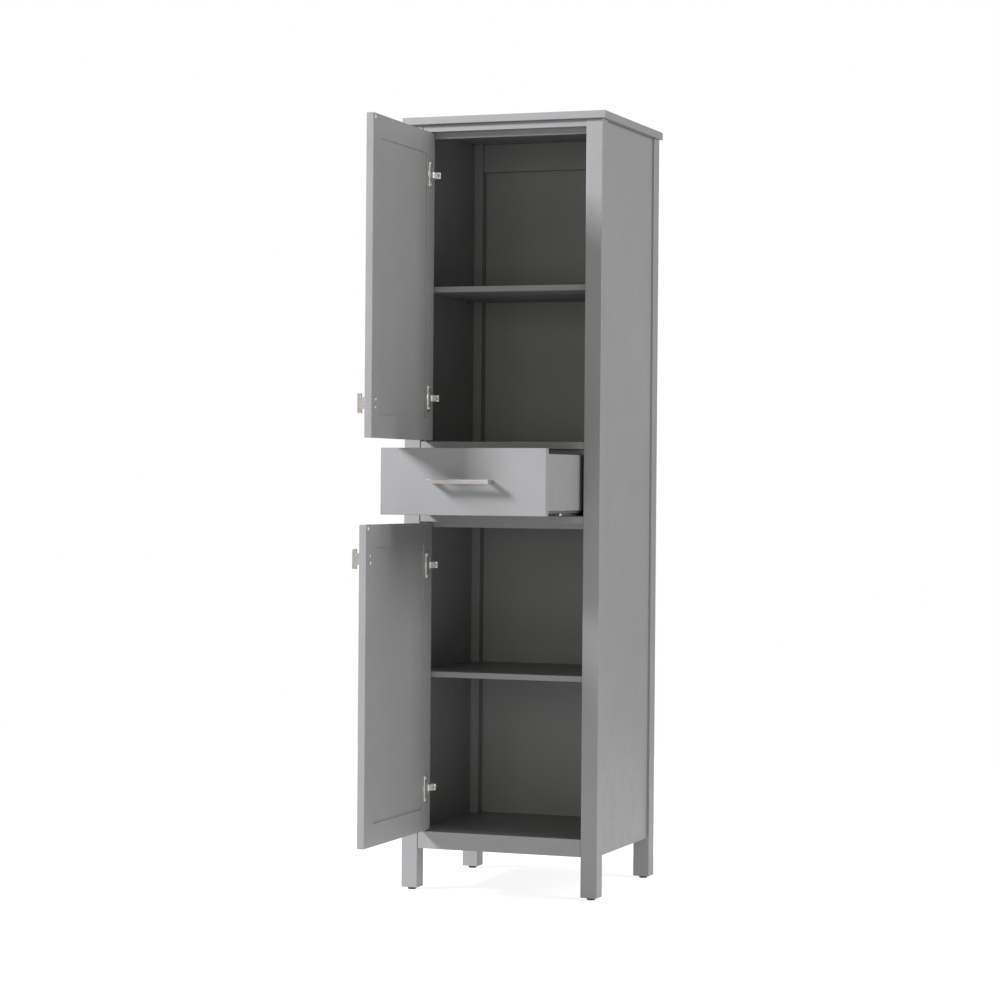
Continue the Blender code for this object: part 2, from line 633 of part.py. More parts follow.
build_legs_and_top()
build_glides()
build_side_panels()
build_decks_and_shelves()
build_rails()
build_back()
DRAWER = Carrier("drawer_axis", (0, 0, 0), offset=(0, -DRAWER_OUT, 0))
MIDDLE = Carrier("slide_middle_axis", (0, 0, 0), offset=(0, -DRAWER_OUT * SLIDE_RATIO, 0))
build_slides(DRAWER, MIDDLE)
build_drawer(DRAWER)
build_door("upper_door", UPPER_DOOR_Z, UPPER_DOOR_OPEN, UPPER_DOOR_Z + PULL_FROM_END)
build_door("lower_door", LOWER_DOOR_Z, LOWER_DOOR_OPEN, LOWER_DOOR_Z + DOOR_HIGH - PULL_FROM_END)
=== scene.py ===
"""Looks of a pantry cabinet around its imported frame: satin grey paint on softly eased boards,
brushed nickel pulls, nickel hinges, zinc slides and the small fittings. Metres, +Z up.

Pieces that move are shaped where they lie with the doors shut and the drawer pushed in, and
then carried to their rest places by the joints' own numbers."""

import json
import math

import bmesh
import bpy
from mathutils import Matrix, Vector


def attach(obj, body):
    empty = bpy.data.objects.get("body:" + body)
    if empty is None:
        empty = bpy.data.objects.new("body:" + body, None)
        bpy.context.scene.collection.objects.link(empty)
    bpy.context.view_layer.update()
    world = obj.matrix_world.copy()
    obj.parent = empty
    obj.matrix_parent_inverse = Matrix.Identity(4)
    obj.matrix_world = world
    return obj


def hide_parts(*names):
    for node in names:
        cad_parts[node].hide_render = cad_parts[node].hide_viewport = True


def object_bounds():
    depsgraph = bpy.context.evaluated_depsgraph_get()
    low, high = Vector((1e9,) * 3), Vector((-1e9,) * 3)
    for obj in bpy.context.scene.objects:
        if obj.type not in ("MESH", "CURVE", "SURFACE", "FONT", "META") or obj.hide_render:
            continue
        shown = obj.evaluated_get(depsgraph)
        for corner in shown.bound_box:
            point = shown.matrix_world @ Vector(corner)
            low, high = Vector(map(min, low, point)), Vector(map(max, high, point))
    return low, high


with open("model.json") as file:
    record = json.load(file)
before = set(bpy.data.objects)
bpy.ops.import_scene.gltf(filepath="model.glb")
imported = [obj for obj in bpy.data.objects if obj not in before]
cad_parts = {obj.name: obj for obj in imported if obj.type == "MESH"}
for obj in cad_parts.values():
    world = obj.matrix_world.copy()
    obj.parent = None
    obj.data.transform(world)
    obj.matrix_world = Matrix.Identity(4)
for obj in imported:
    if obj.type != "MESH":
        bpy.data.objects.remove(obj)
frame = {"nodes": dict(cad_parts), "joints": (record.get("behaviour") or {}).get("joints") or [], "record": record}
CAD_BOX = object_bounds()

# ---- sizes that the frame's boxes don't give --------------------------------------------
GAP = 0.0003                    # between pieces that touch
EASE = 0.0011                   # rounded edge of a face board
SOFT_EASE = 0.0006              # rounded edge of an inner board
HAIRLINE = 0.00022              # an edge that butts against another board
SHEET = 0.0012                  # pressed steel
CUP_RADIUS = 0.0173
CUP_DEEP = 0.0115
FLANGE_WIDE = 0.0146
FLANGE_SHIFT = 0.0103           # flange centre from the cup's centre
FLANGE_THICK = 0.0032
FLANGE_SCREWS = 0.045
ARM_PLATE = 0.0018
ARM_HALF_HIGH = 0.0075
ARM_LONG = 0.0237               # to where the arm narrows to its tongue
ARM_SCREWS = 0.028
TONGUE_HALF = 0.0028
TONGUE_FRONT, TONGUE_BACK, TONGUE_TIP = 0.0024, 0.0040, 0.0026   # from the link's pin
LINK_SHUT_DEG = 221.9           # link's direction from +X with the door shut
LINK_LONG = 0.0208
LINK_HALF_HIGH = 0.0067
LINK_THICK = 0.0020
HOOK_DEG = -78.9
HOOK_LONG = 0.0053
KNUCKLE = 0.0028
FORK_HALF = 0.0031
FORK_LONG = 0.0056
PIN_RADIUS = 0.00145
PIN_HOLE = 0.0015               # radius through the arm's tongue and the link's knuckle
SCREW_HOLE = 0.0022             # radius through pressed steel
TONGUE_SET = 0.0015             # arm's plate behind the tongue's front
BUFFER_SHARE = 0.32             # nylon buffer's share of its slide member's width
PULL_BAR = 0.008
T_PULL_BAR = 0.008
T_PULL_FROM_EDGE = 0.023
T_SCREWS = 0.016
DOORS = ("upper_door", "lower_door")
HINGES = ("lower", "upper")


# ---- from the shut position to rest -----------------------------------------------------
def shut_to_rest():
    """For each moving body, the matrix from its shut place, its joint's lower limit, to rest."""
    joints = {joint["name"]: joint for joint in frame["joints"]}
    lowest = {name: joint.get("range_deg", joint.get("range_m"))[0]
              for name, joint in joints.items()}
    for coupling in frame["record"]["behaviour"]["couplings"]:
        lowest[coupling["joint"]] = coupling["ratio"] * lowest[coupling["follows"]]
    moves = {}
    for name, joint in joints.items():
        axis = Vector(joint["axis"])
        if joint["type"] == "hinge":
            at = Matrix.Translation(Vector(joint["pos_m"]))
            turn = Matrix.Rotation(math.radians(-lowest[name]), 4, axis)
            moves[joint["child"]] = at @ turn @ at.inverted()
        else:
            moves[joint["child"]] = Matrix.Translation(axis * -lowest[name])
    return moves


MOVES = shut_to_rest()
BODY_OF = {node: body for body, nodes in frame["record"]["behaviour"]["bodies"].items()
           for node in nodes}


def shut_box(node):
    """(lowest corner, highest corner) of a CAD node with everything shut."""
    back = MOVES.get(BODY_OF[node], Matrix.Identity(4)).inverted()
    spots = [back @ vert.co for vert in frame["nodes"][node].data.vertices]
    return (Vector([min(spot[i] for spot in spots) for i in range(3)]),
            Vector([max(spot[i] for spot in spots) for i in range(3)]))


# ---- materials --------------------------------------------------------------------------
class Finish:
    """A node material under construction, in the piece's own coordinates."""

    def __init__(self, name):
        self.material = bpy.data.materials.new(name)
        self.material.use_nodes = True
        self.tree = self.material.node_tree
        self.shader = self.tree.nodes["Principled BSDF"]
        self.place = self.tree.nodes.new("ShaderNodeTexCoord").outputs["Object"]

    def set(self, **values):
        for name, value in values.items():
            self.shader.inputs[name.replace("_", " ").title().replace("Ior", "IOR")
                               ].default_value = value
        return self

    def stretched(self, x, y, z):
        mapping = self.tree.nodes.new("ShaderNodeMapping")
        mapping.inputs["Scale"].default_value = (x, y, z)
        self.tree.links.new(self.place, mapping.inputs["Vector"])
        return mapping.outputs["Vector"]

    def noise(self, scale, detail=2.0, vector=None, rough=0.5):
        node = self.tree.nodes.new("ShaderNodeTexNoise")
        node.inputs["Scale"].default_value = scale
        node.inputs["Detail"].default_value = detail
        node.inputs["Roughness"].default_value = rough
        self.tree.links.new(vector or self.place, node.inputs["Vector"])
        return node.outputs["Fac"]

    def cells(self, scale):
        node = self.tree.nodes.new("ShaderNodeTexVoronoi")
        node.inputs["Scale"].default_value = scale
        self.tree.links.new(self.place, node.inputs["Vector"])
        return node.outputs["Color"]

    def ramp(self, factor, stops):
        node = self.tree.nodes.new("ShaderNodeValToRGB")
        elements = node.color_ramp.elements
        while len(elements) < len(stops):
            elements.new(0.5)
        for element, (place, colour) in zip(elements, stops):
            element.position = place
            element.color = (*colour, 1.0)
        self.tree.links.new(factor, node.inputs["Fac"])
        return node.outputs["Color"]

    def mix(self, factor, first, second, blend="MIX"):
        node = self.tree.nodes.new("ShaderNodeMix")
        node.data_type = "RGBA"
        node.blend_type = blend
        node.inputs["Factor"].default_value = factor
        self.tree.links.new(first, node.inputs["A"])
        self.tree.links.new(second, node.inputs["B"])
        return node.outputs["Result"]

    def spread(self, factor, low, high):
        node = self.tree.nodes.new("ShaderNodeMapRange")
        node.inputs["From Min"].default_value = 0.3
        node.inputs["From Max"].default_value = 0.7
        node.inputs["To Min"].default_value = low
        node.inputs["To Max"].default_value = high
        self.tree.links.new(factor, node.inputs["Value"])
        return node.outputs["Result"]

    def bump(self, height, distance, strength=1.0, after=None):
        node = self.tree.nodes.new("ShaderNodeBump")
        node.inputs["Strength"].default_value = strength
        node.inputs["Distance"].default_value = distance
        self.tree.links.new(height, node.inputs["Height"])
        if after:
            self.tree.links.new(after, node.inputs["Normal"])
        return node.outputs["Normal"]

    def wire(self, colour=None, roughness=None, normal=None):
        for name, output in (("Base Color", colour), ("Roughness", roughness),
                             ("Normal", normal)):
            if output:
                self.tree.links.new(output, self.shader.inputs[name])
        return self.material


def shade(colour, share):
    return tuple(channel * share for channel in colour)


def paint():
    """Sprayed satin grey: faint clouding, fine orange peel and slightly uneven gloss."""
    grey = (0.224, 0.2235, 0.2225)
    make = Finish("satin_grey_paint")
    make.set(specular_ior_level=0.42, coat_weight=0.06, coat_roughness=0.24)
    clouds = make.ramp(make.noise(6.0, 4.0), [(0.3, shade(grey, 0.965)), (0.7, shade(grey, 1.03))])
    specks = make.ramp(make.noise(520.0, 2.0), [(0.25, (0.93,) * 3), (0.75, (1.0,) * 3)])
    colour = make.mix(1.0, clouds, specks, "MULTIPLY")
    gloss = make.spread(make.noise(34.0, 3.0), 0.38, 0.47)
    peel = make.bump(make.noise(430.0, 1.0), 0.00010, 0.35)
    fine = make.bump(make.noise(1500.0, 2.0), 0.00003, 0.5, after=peel)
    return make.wire(colour, gloss, fine)


def brushed(name, colour, grain, low, high):
    """Brushed plated metal; grain is the axis that its fine scratches run along."""
    make = Finish(name)
    make.set(metallic=1.0, anisotropic=0.35)
    along, across = 22.0, 2200.0
    lines = make.stretched(*[along if axis == grain else across for axis in "xyz"])
    streaks = make.noise(1.0, 3.0, lines)
    tint = make.ramp(streaks, [(0.3, shade(colour, 0.90)), (0.7, shade(colour, 1.04))])
    patches = make.ramp(make.noise(70.0, 2.0), [(0.3, (0.95,) * 3), (0.7, (1.0,) * 3)])
    return make.wire(make.mix(1.0, tint, patches, "MULTIPLY"), make.spread(streaks, low, high),
                     make.bump(streaks, 0.00002, 0.4))


def hinge_nickel(name, colour, metallic, low, high):
    """Barrel-plated nickel, with slight clouding and rolled-sheet ripple; duller on the links."""
    make = Finish(name)
    make.set(metallic=metallic)
    tint = make.ramp(make.noise(160.0, 3.0), [(0.3, shade(colour, 0.92)), (0.7, colour)])
    gloss = make.spread(make.noise(420.0, 3.0), low, high)
    return make.wire(tint, gloss, make.bump(make.noise(260.0, 2.0), 0.00004, 0.4))


def zinc():
    """Zinc-plated strip steel with a faint spangle and lengthwise drawing marks; its base colour is painted darker
    than bare zinc, as painted shade for the slides that lie in shadow under the drawer.
    """
    # darker than bare zinc plate: painted shade for the slides in shadow under the drawer; the shelf pins, rail
    # screws and link pins share this colour
    colour = (0.34, 0.35, 0.37)
    make = Finish("zinc_steel")
    make.set(metallic=1.0)
    spangle = make.ramp(make.cells(260.0), [(0.0, shade(colour, 0.86)), (1.0, colour)])
    marks = make.noise(1.0, 2.0, make.stretched(1800.0, 18.0, 1800.0))
    tint = make.mix(1.0, spangle, make.ramp(marks, [(0.3, (0.93,) * 3), (0.7, (1.0,) * 3)]),
                    "MULTIPLY")
    return make.wire(tint, make.spread(marks, 0.28, 0.42), make.bump(marks, 0.00002, 0.4))


def moulded(name, colour, low, high, **values):
    """Injection-moulded plastic or rubber: a fine spark-eroded texture."""
    make = Finish(name)
    make.set(**values)
    tint = make.ramp(make.noise(240.0, 2.0), [(0.3, shade(colour, 0.90)), (0.7, colour)])
    return make.wire(tint, make.spread(make.noise(600.0, 2.0), low, high),
                     make.bump(make.noise(1900.0, 2.0), 0.00004, 0.5))


PAINT = paint()
NICKEL_X = brushed("brushed_nickel_level", (0.62, 0.585, 0.56), "x", 0.26, 0.40)
NICKEL_Z = brushed("brushed_nickel_upright", (0.62, 0.585, 0.56), "z", 0.26, 0.40)
HINGE_NICKEL = hinge_nickel("hinge_nickel", (0.82, 0.80, 0.76), 0.92, 0.30, 0.42)
LINK_NICKEL = hinge_nickel("link_nickel", (0.86, 0.81, 0.76), 0.60, 0.36, 0.48)
ZINC_PAINTED_SHADE = zinc()
BLACK = moulded("black_plastic", (0.022, 0.022, 0.023), 0.42, 0.58)
WHITE = moulded("white_nylon", (0.78, 0.78, 0.75), 0.35, 0.50, subsurface_weight=0.05)
CLEAR = moulded("clear_rubber", (0.80, 0.81, 0.80), 0.12, 0.24, transmission_weight=0.55,
                ior=1.45)


# ---- shaping ----------------------------------------------------------------------------
def sharp_edges(work, above_deg=30.0):
    return [edge for edge in work.edges
            if len(edge.link_faces) == 2 and edge.calc_face_angle(0) > math.radians(above_deg)]


def ease_edges(work, edges, width, segments=3):
    if edges:
        bmesh.ops.bevel(work, geom=edges, offset=width, segments=segments, profile=0.5,
                        affect="EDGES", clamp_overlap=True)


SIDES = {"-x": (0, -1), "+x": (0, 1), "-y": (1, -1), "+y": (1, 1), "-z": (2, -1), "+z": (2, 1)}


def eased_board(low, high, ease=EASE, butts=()):
    """A board with rounded edges; those round its butts, such as "+x", are only broken."""
    work = bmesh.new()
    bmesh.ops.create_cube(work, size=1.0)
    bmesh.ops.scale(work, vec=high - low, verts=work.verts)
    bmesh.ops.translate(work, vec=(low + high) / 2, verts=work.verts)
    held = set()
    for face in work.faces:
        for butt in butts:
            axis, way = SIDES[butt]
            if face.normal[axis] * way > 0.9:
                held.update(face.edges)
    ease_edges(work, [edge for edge in work.edges if edge not in held], ease)
    ease_edges(work, sharp_edges(work, 40.0), HAIRLINE, 1)
    return work


def extruded(points, plane, span):
    """A flat outline pushed across span: "xy" along Z, "xz" along Y, "yz" along X."""
    spots = {"xy": lambda a, b, c: (a, b, c), "xz": lambda a, b, c: (a, c, b),
             "yz": lambda a, b, c: (c, a, b)}[plane]
    work = bmesh.new()
    face = work.faces.new([work.verts.new(spots(a, b, span[0])) for a, b in points])
    made = bmesh.ops.extrude_face_region(work, geom=[face])["geom"]
    moved = [item for item in made if isinstance(item, bmesh.types.BMVert)]
    bmesh.ops.translate(work, vec=spots(0, 0, span[1] - span[0]), verts=moved)
    bmesh.ops.recalc_face_normals(work, faces=work.faces)
    return work


def arc(centre, radius, start_deg, end_deg, steps):
    angles = [math.radians(start_deg + (end_deg - start_deg) * k / steps)
              for k in range(steps + 1)]
    return [(centre[0] + radius * math.cos(angle), centre[1] + radius * math.sin(angle))
            for angle in angles]


def rounded_rectangle(low, high, radius, steps=6):
    """Points of a rectangle from low to high with rounded corners."""
    corners = (((high[0] - radius, high[1] - radius), 0),
               ((low[0] + radius, high[1] - radius), 90),
               ((low[0] + radius, low[1] + radius), 180),
               ((high[0] - radius, low[1] + radius), 270))
    return [point for centre, start in corners
            for point in arc(centre, radius, start, start + 90, steps)]


TURN_TO = {"+z": Matrix.Identity(4),
           "-z": Matrix.Rotation(math.pi, 4, "X"),
           "+y": Matrix.Rotation(-math.pi / 2, 4, "X"),
           "-y": Matrix.Rotation(math.pi / 2, 4, "X"),
           "+x": Matrix.Rotation(math.pi / 2, 4, "Y"),
           "-x": Matrix.Rotation(-math.pi / 2, 4, "Y")}


def turned(profile, base, direction, steps=40):
    """A round solid: (radius, height) points from the axis out and back to the axis."""
    work = bmesh.new()
    verts = [work.verts.new((radius, 0, high)) for radius, high in profile]
    edges = [work.edges.new(pair) for pair in zip(verts, verts[1:])]
    bmesh.ops.spin(work, geom=verts + edges, cent=(0, 0, 0), axis=(0, 0, 1),
                   angle=2 * math.pi, steps=steps, use_duplicate=False)
    bmesh.ops.remove_doubles(work, verts=work.verts, dist=1e-6)
    bmesh.ops.recalc_face_normals(work, faces=work.faces)
    place = Matrix.Translation(Vector(base)) @ TURN_TO[direction]
    bmesh.ops.transform(work, matrix=place, verts=work.verts)
    return work


def pin(base, direction, length, radius, chamfer=0.0003, steps=28):
    return turned([(0, 0), (radius - chamfer, 0), (radius, chamfer), (radius, length - chamfer),
                   (radius - chamfer, length), (0, length)], base, direction, steps)


def combined(base, *changes):
    """base with other shapes joined ("UNION") or cut away ("DIFFERENCE"), one after another."""
    def as_object(work):
        mesh = bpy.data.meshes.new("shaping")
        work.to_mesh(mesh)
        work.free()
        item = bpy.data.objects.new("shaping", mesh)
        bpy.context.scene.collection.objects.link(item)
        return item

    item = as_object(base)
    others = []
    for operation, work in changes:
        other = as_object(work)
        others.append(other)
        change = item.modifiers.new("change", "BOOLEAN")
        change.operation = operation
        change.solver = "EXACT"
        change.object = other
    bpy.context.view_layer.update()
    shape = item.evaluated_get(bpy.context.evaluated_depsgraph_get())
    result = bmesh.new()
    result.from_mesh(shape.data)
    for used in (item, *others):
        mesh = used.data
        bpy.data.objects.remove(used)
        bpy.data.meshes.remove(mesh)
    bmesh.ops.dissolve_limit(result, angle_limit=math.radians(0.5), verts=result.verts,
                             edges=result.edges)
    return result


def from_node(node, ease, segments=2):
    """A node's own shape with its flat faces whole again and its edges rounded."""
    work = bmesh.new()
    work.from_mesh(frame["nodes"][node].data)
    bmesh.ops.remove_doubles(work, verts=work.verts, dist=1e-6)
    bmesh.ops.dissolve_limit(work, angle_limit=math.radians(0.5), verts=work.verts,
                             edges=work.edges)
    ease_edges(work, sharp_edges(work, 40.0), ease, segments)
    return work


def piece(name, work, body, finish, stands_for=(), at_rest=False, crease_deg=35.0):
    """Make a shaped piece real: carried to rest, finished, and riding on its body."""
    if not at_rest:
        move = MOVES.get(body, Matrix.Identity(4))
        bmesh.ops.transform(work, matrix=move, verts=work.verts)
    mesh = bpy.data.meshes.new(name)
    work.to_mesh(mesh)
    work.free()
    mesh.materials.append(finish)
    mesh.shade_smooth()
    mesh.set_sharp_from_angle(angle=math.radians(crease_deg))
    item = bpy.data.objects.new(name, mesh)
    bpy.context.scene.collection.objects.link(item)
    weighted = item.modifiers.new("weighted_normals", "WEIGHTED_NORMAL")
    weighted.keep_sharp = True
    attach(item, body)
    if stands_for:
        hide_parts(*stands_for)
    return item


def painted(node, work):
    return piece("painted_" + node, work, BODY_OF[node], PAINT, [node])


# ---- painted boards ---------------------------------------------------------------------
def boards():
    """(node, rounding, butting sides) for every plain board, as it lies when shut."""
    ends = ("-x", "+x")
    yield "top_slab", 0.0015, ()
    for side in ("left", "right"):
        for row in ("front", "rear"):
            yield f"leg_{row}_{side}", EASE, ("+z",)
        yield "side_panel_" + side, SOFT_EASE, ("-y", "+y", "+z")
        yield "drawer_side_" + side, SOFT_EASE, ("-y",)
    for node in ("upper_mid_rail", "lower_mid_rail", "apron", "upper_mid_stop_strip",
                 "lower_mid_stop_strip", "drawer_back"):
        yield node, SOFT_EASE, ends
    for node in ("top_rail", "top_stop_strip", "back_top_rail"):
        yield node, SOFT_EASE, ends + ("+z",)
    yield "back_panel", HAIRLINE, ()
    yield "drawer_front", EASE, ()
    yield "drawer_bottom", HAIRLINE, ()
    for door in DOORS:
        yield door + "_hinge_stile", EASE, ("+x",)
        yield door + "_free_stile", EASE, ("-x",)
        yield door + "_panel", HAIRLINE, ()


def build_boards():
    """The plain boards, then the door rails, which run between the stiles' inner edges."""
    for node, ease, butts in boards():
        painted(node, eased_board(*shut_box(node), ease, butts))
    for door in DOORS:
        inner = [shut_box(door + "_hinge_stile")[1].x, shut_box(door + "_free_stile")[0].x]
        for end, butt in (("top", "-z"), ("bottom", "+z")):
            low, high = shut_box(f"{door}_{end}_rail")
            low.x, high.x = inner[0] + GAP / 3, inner[1] - GAP / 3
            painted(f"{door}_{end}_rail", eased_board(low, high, EASE, ("-x", "+x", butt)))


def build_notched_boards():
    """Shelves and decks, cut away round the four legs."""
    front_leg, rear_leg = shut_box("leg_front_right"), shut_box("leg_rear_right")
    narrow = front_leg[0].x - GAP
    notch_y = (front_leg[1].y + GAP, rear_leg[0].y - GAP)
    for node in ("upper_shelf", "lower_shelf", "upper_deck", "floor_panel"):
        low, high = shut_box(node)
        right = [(narrow, low.y), (narrow, notch_y[0]), (high.x, notch_y[0]),
                 (high.x, notch_y[1]), (narrow, notch_y[1]), (narrow, high.y)]
        points = right + [(-x, y) for x, y in reversed(right)]
        work = extruded(points, "xy", (low.z, high.z))
        ease_edges(work, sharp_edges(work, 40.0), SOFT_EASE)
        painted(node, work)


# ---- screws and small fittings ----------------------------------------------------------
def screw_head(radius, high, dome=0.35):
    """A crosshead screw's head on the plane z = 0, a little domed."""
    crown = high * (1 - dome)
    rise = [(radius * math.cos(t), crown + high * dome * math.sin(t))
            for t in (k * math.pi / 12 for k in range(6))]
    head = turned([(0, 0), (radius * 0.96, 0), (radius, high * 0.12), *rise, (0, high)],
                  (0, 0, 0), "+z", 32)
    cuts = []
    arm, half = radius * 0.50, radius * 0.11
    floor = high * 0.35
    for turn in (0.0, math.pi / 2):
        cut = extruded([(-arm, -half), (arm, -half), (arm, half), (-arm, half)], "xy",
                       (floor, high * 2))
        bmesh.ops.rotate(cut, cent=(0, 0, 0), matrix=Matrix.Rotation(turn, 3, "Z"),
                         verts=cut.verts)
        cuts.append(("DIFFERENCE", cut))
    return combined(head, *cuts)


def add_screw(name, at, direction, radius, high, body, finish=None,
              turn_deg=20.0):
    work = screw_head(radius, high)
    spin = Matrix.Rotation(math.radians(turn_deg), 4, "Z")
    place = Matrix.Translation(Vector(at)) @ TURN_TO[direction] @ spin
    bmesh.ops.transform(work, matrix=place, verts=work.verts)
    piece(name, work, body, finish or HINGE_NICKEL)


def build_glides():
    """Turned feet with a rounded tread and a small waist."""
    for node in [name for name in frame["nodes"] if name.startswith("glide_")]:
        low, high = shut_box(node)
        radius, stem, tread_round, waist = (high.x - low.x) / 2, 0.003, 0.0012, 0.0005
        pad = shut_box("leg_" + node[len("glide_"):])[0].z - low.z - GAP
        tread = [(radius - tread_round + tread_round * math.sin(t),
                  tread_round - tread_round * math.cos(t))
                 for t in (k * math.pi / 8 for k in range(5))]
        profile = [(0, 0), (radius * 0.62, 0.0), *tread, (radius, pad * 0.55),
                   (radius - waist, pad * 0.60), (radius - waist, pad * 0.74),
                   (radius, pad * 0.80), (radius - 0.0002, pad - 0.0002), (radius - 0.0008, pad),
                   (stem, pad), (stem, high.z - low.z - 0.001), (stem - 0.001, high.z - low.z),
                   (0, high.z - low.z)]
        centre = (low + high) / 2
        work = turned(profile, (centre.x, centre.y, low.z), "+z", 48)
        piece("moulded_" + node, work, BODY_OF[node], BLACK, [node])


def build_shelf_pins():
    """Steel pegs under the shelves, with a collar against the side panel."""
    radius, reach, collar = 0.0025, 0.009, 0.0045
    inner = shut_box("side_panel_right")[0].x
    for shelf in ("upper_shelf", "lower_shelf"):
        low, high = shut_box(shelf)
        for place_name, y in (("front", 0.060), ("rear", 0.300)):
            for side_name, side, way in (("left", -1, "+x"), ("right", 1, "-x")):
                profile = [(0, 0), (collar, 0), (collar, 0.0008), (collar - 0.0003, 0.0012),
                           (radius, 0.0012), (radius, reach - 0.0005), (radius - 0.0005, reach),
                           (0, reach)]
                base = (side * (inner - GAP / 2), y, low.z - GAP / 2 - radius)
                cut = turned(profile, base, way, 28)
                above = extruded([(-0.02, -0.02), (0.02, -0.02), (0.02, 0.02), (-0.02, 0.02)],
                                 "xy", (low.z - GAP / 2, low.z + 0.02))
                bmesh.ops.translate(above, vec=(base[0], y, 0), verts=above.verts)
                piece(f"{shelf}_pin_{place_name}_{side_name}",
                      combined(cut, ("DIFFERENCE", above)), "carcass", ZINC_PAINTED_SHADE)


def build_bumpers():
    """A soft clear dome at the top free corner of each door's inner face."""
    radius, high, inset = 0.0047, 0.0022, (0.0095, 0.0075)
    for door in DOORS:
        corner = shut_box(door + "_free_stile")[1]
        dome = [(radius * math.cos(t), 0.0003 + (high - 0.0003) * math.sin(t))
                for t in (k * math.pi / 20 for k in range(11))]
        work = turned([(0, 0), (radius, 0), *dome[:-1], (0, high)],
                      (corner.x - inset[0], corner.y + 0.0001, corner.z - inset[1]), "+y", 36)
        piece(f"{door}_bumper", work, door, CLEAR)


# ---- hinges -----------------------------------------------------------------------------
def hinge_cup(node):
    """A deep-drawn cup with a rolled rim and a thick upright flange with round ends."""
    low, high = shut_box(node)
    cup_x, z = low.x + CUP_RADIUS + SHEET, (low.z + high.z) / 2
    face, flange_x = high.y - FLANGE_THICK, cup_x + FLANGE_SHIFT
    half = (high.z - low.z) / 2
    flange = extruded(rounded_rectangle((flange_x - FLANGE_WIDE / 2, z - half),
                                        (flange_x + FLANGE_WIDE / 2, z + half), 0.0035, 8),
                      "xz", (face, face + FLANGE_THICK))
    ease_edges(flange, sharp_edges(flange, 60.0), 0.0006)
    wall, corner, fine_steps = SHEET * 0.7, 0.0015, 64
    outer, inner, inner_corner = CUP_RADIUS, CUP_RADIUS - wall, 0.002
    drum = turned([(0, -CUP_DEEP), (outer - corner, -CUP_DEEP), (outer, -CUP_DEEP + corner),
                   (outer, 0.0001), (outer + SHEET, 0.0001), (outer + SHEET, 0.0006),
                   (outer + 0.0006, 0.0010), (0, 0.0010)], (cup_x, face, z), "+y", fine_steps)
    hollow = turned([(0, -CUP_DEEP + wall), (inner - inner_corner, -CUP_DEEP + wall),
                     (inner, -CUP_DEEP + wall + inner_corner), (inner, 0.006), (0, 0.006)],
                    (cup_x, face, z), "+y", fine_steps)
    changes = [("UNION", drum), ("DIFFERENCE", hollow)]
    for offset in (-FLANGE_SCREWS / 2, FLANGE_SCREWS / 2):
        changes.append(("DIFFERENCE", pin((flange_x, face + 2 * FLANGE_THICK, z + offset), "-y",
                                          3 * FLANGE_THICK, SCREW_HOLE)))
    piece("pressed_" + node, combined(flange, *changes), BODY_OF[node], HINGE_NICKEL,
          [node])
    for label, offset in (("lower", -FLANGE_SCREWS / 2), ("upper", FLANGE_SCREWS / 2)):
        add_screw(f"{node}_{label}_screw", (flange_x, high.y + 0.0001, z + offset), "+y",
                  0.0036, 0.0013, BODY_OF[node])


def link_pin_of(door):
    return next(joint["pos_m"] for joint in frame["joints"]
                if joint["name"] == door.split("_")[0] + "_link_pivot")


def hinge_arm(node, door):
    """A wing plate on the leg and an arm that ends in a tongue round the link's pin."""
    low, high = shut_box(node)
    z, half = (low.z + high.z) / 2, (high.z - low.z) / 2
    plate_front, plate_back = low.y + TONGUE_SET, high.y
    plate = extruded(rounded_rectangle((plate_front, z - half), (plate_back, z + half), 0.003),
                     "yz", (low.x, low.x + ARM_PLATE))
    ease_edges(plate, sharp_edges(plate, 60.0), 0.0003, 2)
    arm_low = Vector((low.x + ARM_PLATE / 2, plate_front + 0.0004, z - ARM_HALF_HIGH))
    arm = eased_board(arm_low, Vector((low.x + ARM_LONG, high.y - 0.001, z + ARM_HALF_HIGH)),
                      0.0016)
    x, y, _ = link_pin_of(door)
    tongue = eased_board(Vector((low.x + ARM_LONG - TONGUE_BACK, y - TONGUE_FRONT,
                                 z - TONGUE_HALF)),
                         Vector((x + TONGUE_TIP, y + TONGUE_BACK, z + TONGUE_HALF)), 0.0006)
    changes = [("UNION", arm), ("UNION", tongue),
               ("DIFFERENCE", pin((x, y, z - 0.010), "+z", 0.020, PIN_HOLE))]
    screw_y = plate_front + 0.007
    for offset in (-ARM_SCREWS / 2, ARM_SCREWS / 2):
        changes.append(("DIFFERENCE", pin((low.x + 0.004, screw_y, z + offset), "-x", 0.008,
                                          SCREW_HOLE)))
    piece("pressed_" + node, combined(plate, *changes), "carcass", HINGE_NICKEL,
          [node])
    for label, offset in (("lower", -ARM_SCREWS / 2), ("upper", ARM_SCREWS / 2)):
        add_screw(f"{node}_{label}_screw", (low.x + ARM_PLATE + 0.0001, screw_y, z + offset),
                  "+x", 0.0034, 0.0014, "carcass")
    add_screw(f"{node}_setting_screw", (low.x + 0.0088, arm_low.y - 0.0001, z), "-y", 0.0030,
              0.0009, "carcass")
    rivet = LINK_HALF_HIGH + 0.0004
    piece(node.replace("_arm", "_pin"), pin((x, y, z - rivet), "+z", 2 * rivet, PIN_RADIUS),
          "carcass", ZINC_PAINTED_SHADE)


def strip(path, thick):
    """Outline of a flat strip of even thickness along a path."""
    left, right = [], []
    for k, spot in enumerate(path):
        along = (path[min(k + 1, len(path) - 1)] - path[max(k - 1, 0)]).normalized()
        across = Vector((-along.y, along.x)) * thick / 2
        left.append(tuple(spot + across))
        right.append(tuple(spot - across))
    return left + right[::-1]


